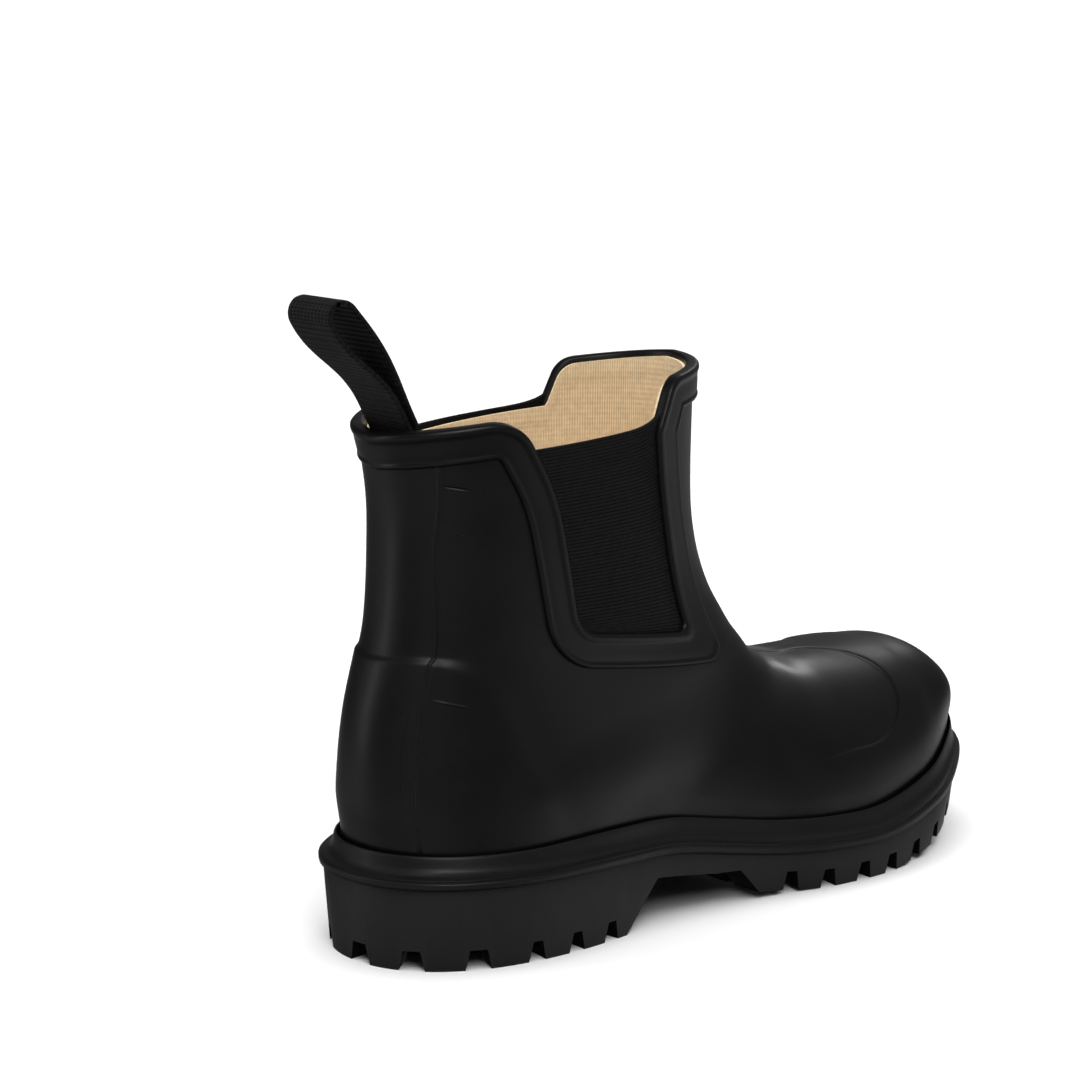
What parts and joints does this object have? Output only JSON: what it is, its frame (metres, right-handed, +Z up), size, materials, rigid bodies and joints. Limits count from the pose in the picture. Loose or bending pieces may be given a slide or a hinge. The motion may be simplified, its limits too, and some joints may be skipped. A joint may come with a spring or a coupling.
{
  "type": "rubber ankle boot",
  "caption": "Black rubber pull-on ankle boot with elastic side gores, a webbing pull loop at the back, a raised toe cap and heel counter, a rand and a lugged heeled sole.",
  "frame": {"origin": "on the floor under the middle of the boot's box", "axes": "+X from heel to toe, +Y to the inner side, +Z up"},
  "size_m": [0.2998, 0.107, 0.2221],
  "materials": {
    "black_rubber": "satin black vulcanised rubber",
    "sole_rubber": "matt black sole rubber",
    "black_elastic": "ribbed black elastic",
    "black_webbing": "ribbed black webbing",
    "cotton_board": "tan cotton over board"
  },
  "bodies": {
    "root": {"outsole": "sole_rubber", "rand": "black_rubber", "insole": "cotton_board", "upper": "black_rubber", "heel_counter": "black_rubber", "toe_cap": "black_rubber", "back_strip": "black_rubber", "collar_binding": "black_rubber", "gore_outer": "black_elastic", "gore_inner": "black_elastic", "pull_loop": "black_webbing"}
  },
  "joints": []
}
